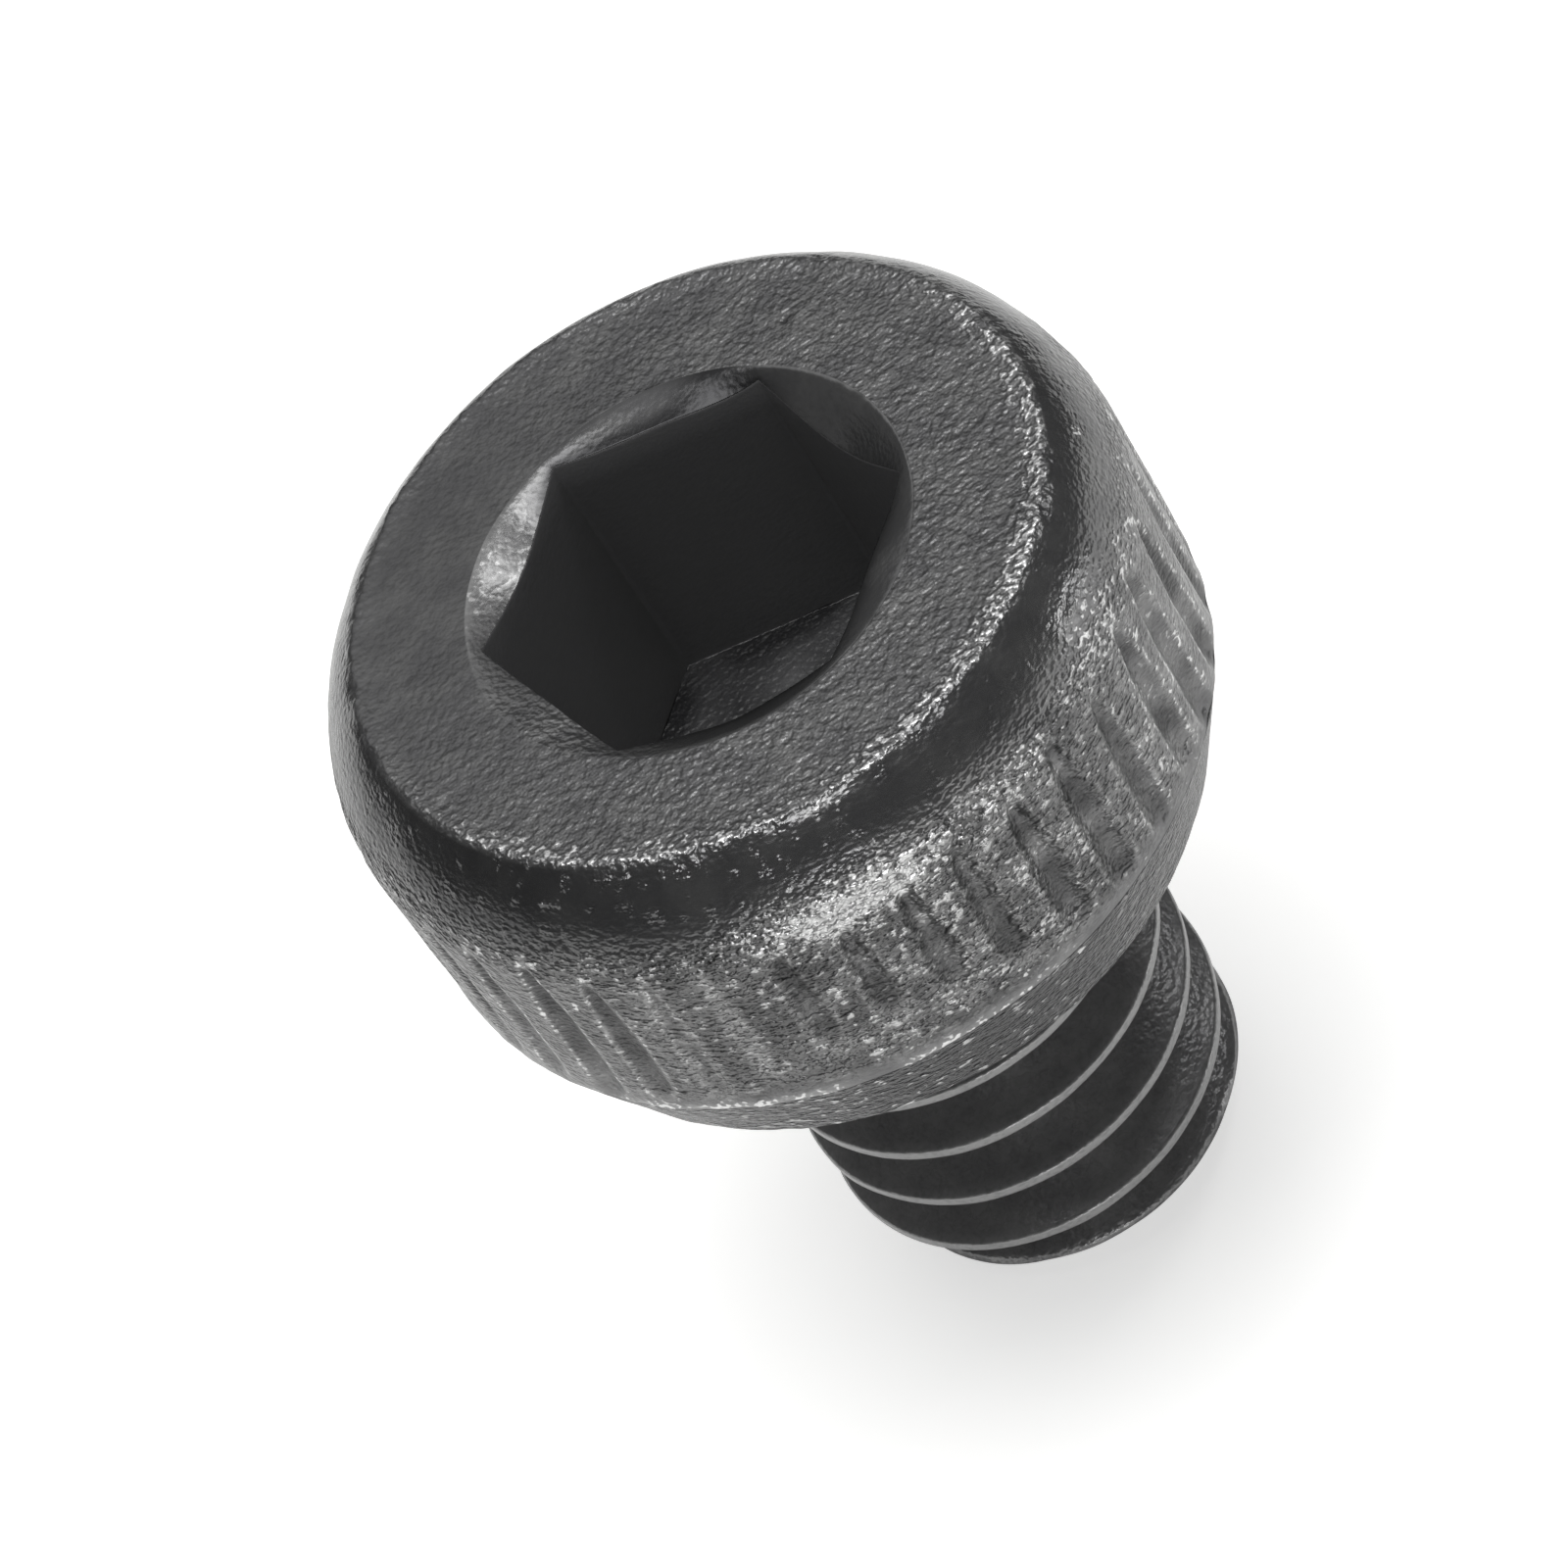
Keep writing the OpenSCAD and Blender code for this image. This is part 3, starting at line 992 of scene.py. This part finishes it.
    # The grain's height spans about a fifth of the noise's range
    bump_inputs = {"Height": relief, "Strength": grit, "Distance": 5 * finish.grain_height}
    bump = add_node(tree, "ShaderNodeBump", {}, bump_inputs)
    surface = {"Base Color": layers, "Metallic": metal, "Roughness": rough, "Normal": bump}
    shader = add_node(tree, "ShaderNodeBsdfPrincipled", {}, surface)
    add_node(tree, "ShaderNodeOutputMaterial", {}, {"Surface": shader})
    return material


class CAPSCREW_OT_screw(bpy.types.Operator):
    """Build the screw's skin over the part and give it its black oxide finish"""

    bl_idname = "capscrew.screw"
    bl_label = "Build Screw"

    def execute(self, context):
        scene = context.scene
        form = ScrewForm(scene.capscrew_sizes, scene.capscrew_wear)
        skin = build_skin(form)
        marks = {name: np.concatenate(values) for name, values in skin.marks.items()}
        points = roughen(np.concatenate(skin.points), skin.faces, form, marks["grit"])
        mesh = bpy.data.meshes.new("cap_screw")
        mesh.from_pydata(points.tolist(), [], [tuple(int(i) for i in f) for f in skin.faces])
        if mesh.validate(verbose=True):
            raise RuntimeError("the screw's skin has faults")
        mesh.polygons.foreach_set("use_smooth", [True] * len(mesh.polygons))
        for name, values in marks.items():
            layer = mesh.attributes.new(name, "FLOAT", "POINT")
            layer.data.foreach_set("value", values.astype(np.float32))
        mesh.materials.append(screw_material(scene.capscrew_finish))
        screw = bpy.data.objects.new("cap_screw", mesh)
        scene.collection.objects.link(screw)
        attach(screw, BODY)
        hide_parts(NODE)
        return {"FINISHED"}


# The studio --------------------------------------------------


def floor_material(look):
    """A matt white painted board: it holds the soft shadow of the screw, and reads as pure
    white in front of the camera and in the metal's reflections."""
    material, tree = new_material("matt_white_board")
    paint = add_node(tree, "ShaderNodeBsdfDiffuse", {}, {"Color": tuple(look.floor_colour)})
    rays = add_node(tree, "ShaderNodeLightPath").node.outputs
    larger = {"operation": "MAXIMUM"}
    seen = add_node(tree, MATH, larger, {0: rays["Is Camera Ray"], 1: rays["Is Glossy Ray"]})
    seen = add_node(tree, MATH, larger, {0: seen, 1: rays["Is Transmission Ray"]})
    lift = add_node(tree, MATH, {"operation": "MULTIPLY"}, {0: seen, 1: FLOOR_GLOW})
    glow_inputs = {"Color": (1.0, 1.0, 1.0, 1.0), "Strength": lift}
    glow = add_node(tree, "ShaderNodeEmission", {}, glow_inputs)
    both = add_node(tree, "ShaderNodeAddShader", {}, {0: paint, 1: glow})
    add_node(tree, "ShaderNodeOutputMaterial", {}, {"Surface": both})
    return material


def toward(azimuth, elevation, distance):
    """A point in this direction from the screw; azimuth runs from +X towards +Y."""
    a, e = math.radians(azimuth), math.radians(elevation)
    return (
        distance * math.cos(e) * math.cos(a),
        distance * math.cos(e) * math.sin(a),
        distance * math.sin(e),
    )


def lay_floor(scene, look, height):
    """A round floor at this height."""
    rim = [
        (look.floor_radius * math.cos(a), look.floor_radius * math.sin(a), height)
        for a in around(FLOOR_COLUMNS)
    ]
    mesh = bpy.data.meshes.new("floor")
    mesh.from_pydata(rim, [], [tuple(range(FLOOR_COLUMNS))])
    mesh.materials.append(floor_material(look))
    floor = bpy.data.objects.new("floor", mesh)
    scene.collection.objects.link(floor)


def light_room(scene, look):
    """A room that is bright behind and above the screw and dark in front of it."""
    world = bpy.data.worlds.new("soft_room")
    world.use_nodes = True
    tree = world.node_tree
    tree.nodes.clear()
    direction = add_node(tree, "ShaderNodeTexCoord", output="Generated")
    facing = add_node(
        tree,
        "ShaderNodeVectorMath",
        {"operation": "DOT_PRODUCT"},
        {0: direction, 1: toward(*BRIGHT_SIDE, 1.0)},
        "Value",
    )
    strength = add_node(
        tree,
        MAP_RANGE,
        {"interpolation_type": "SMOOTHSTEP"},
        {
            "Value": facing,
            "From Min": BRIGHT_EDGE,
            "From Max": BRIGHT_CORE,
            "To Min": look.dark_strength,
            "To Max": look.sky_strength,
        },
    )
    sky_inputs = {"Color": tuple(look.sky_colour), "Strength": strength}
    sky = add_node(tree, "ShaderNodeBackground", {}, sky_inputs)
    add_node(tree, "ShaderNodeOutputWorld", {}, {"Surface": sky})
    scene.world = world


def hang_lamps(scene, look):
    """Softboxes at the side and above, and two low lamps that draw glints from the knurl's knee."""
    # Directions are in degrees and sizes in metres
    for name, azimuth, elevation, width, height, brightness in (
        ("side_softbox", 20, 51, 0.045, 0.045, look.side_strength),
        ("low_front_lamp", 257, 4, 0.05, 0.02, look.low_strength),
        ("low_side_lamp", -20, 4, 0.026, 0.018, look.low_strength),
        ("top_softbox", 270, 86, 0.11, 0.08, look.top_strength),
    ):
        lamp = bpy.data.lights.new(name, "AREA")
        lamp.shape = "RECTANGLE"
        lamp.size = width
        lamp.size_y = height
        # Power grows with the area, so a lamp of any size looks as bright
        lamp.energy = brightness * math.pi * width * height
        softbox = bpy.data.objects.new(name, lamp)
        place = Vector(toward(azimuth, elevation, LAMP_DISTANCE))
        softbox.location = place
        softbox.rotation_euler = (-place).to_track_quat("-Z", "Y").to_euler()
        softbox.visible_camera = False
        scene.collection.objects.link(softbox)


def place_camera(scene, look):
    """A camera above the -Y side, rolled about its own axis."""
    data = bpy.data.cameras.new("camera")
    data.sensor_width = SENSOR_WIDTH
    data.lens = look.lens
    data.clip_start = 0.001
    data.clip_end = 10.0
    camera = bpy.data.objects.new("camera", data)
    scene.collection.objects.link(camera)
    away = Vector((0.0, -math.cos(look.camera_elevation), math.sin(look.camera_elevation)))
    camera.matrix_world = (
        Matrix.Translation(AIM_POINT + away * look.camera_distance)
        @ Matrix.Rotation(math.pi / 2 - look.camera_elevation, 4, "X")
        @ Matrix.Rotation(-look.camera_roll, 4, "Z")
    )
    scene.camera = camera


class CAPSCREW_OT_studio(bpy.types.Operator):
    """Lay the floor, light the room, hang the lamps and place the camera"""

    bl_idname = "capscrew.studio"
    bl_label = "Build Studio"

    def execute(self, context):
        scene = context.scene
        look = scene.capscrew_studio
        lay_floor(scene, look, -scene.capscrew_sizes.shank_length)
        light_room(scene, look)
        hang_lamps(scene, look)
        place_camera(scene, look)
        scene.view_settings.view_transform = "Standard"
        return {"FINISHED"}


class CAPSCREW_PT_panel(bpy.types.Panel):
    """The screw's sizes, wear, finish and studio, and the buttons that build them"""

    bl_idname = "CAPSCREW_PT_panel"
    bl_label = "Cap Screw"
    bl_space_type = "VIEW_3D"
    bl_region_type = "UI"
    bl_category = "Cap Screw"

    def draw(self, context):
        layout = self.layout
        for title, name, _ in GROUPS:
            group = getattr(context.scene, name)
            box = layout.box()
            box.label(text=title)
            for key in group.__annotations__:
                box.prop(group, key)
        layout.operator(CAPSCREW_OT_screw.bl_idname)
        layout.operator(CAPSCREW_OT_studio.bl_idname)


# Each group of sidebar values, with its title and its name on the scene
GROUPS = (
    ("Sizes", "capscrew_sizes", ScrewSizes),
    ("Wear", "capscrew_wear", ScrewWear),
    ("Finish", "capscrew_finish", ScrewFinish),
    ("Studio", "capscrew_studio", StudioLook),
)
CLASSES = (CAPSCREW_OT_screw, CAPSCREW_OT_studio, CAPSCREW_PT_panel)


def register():
    """Adds the groups of sidebar values, the two operators and the panel."""
    for _, name, group in GROUPS:
        bpy.utils.register_class(group)
        setattr(bpy.types.Scene, name, PointerProperty(type=group))
    for cls in CLASSES:
        bpy.utils.register_class(cls)


def unregister():
    """Takes them away again, in the opposite order."""
    for cls in reversed(CLASSES):
        bpy.utils.unregister_class(cls)
    for _, name, group in reversed(GROUPS):
        delattr(bpy.types.Scene, name)
        bpy.utils.unregister_class(group)


def main():
    """Builds the screw and its studio."""
    register()
    bpy.ops.capscrew.screw()
    bpy.ops.capscrew.studio()


if __name__ == "__main__":
    main()
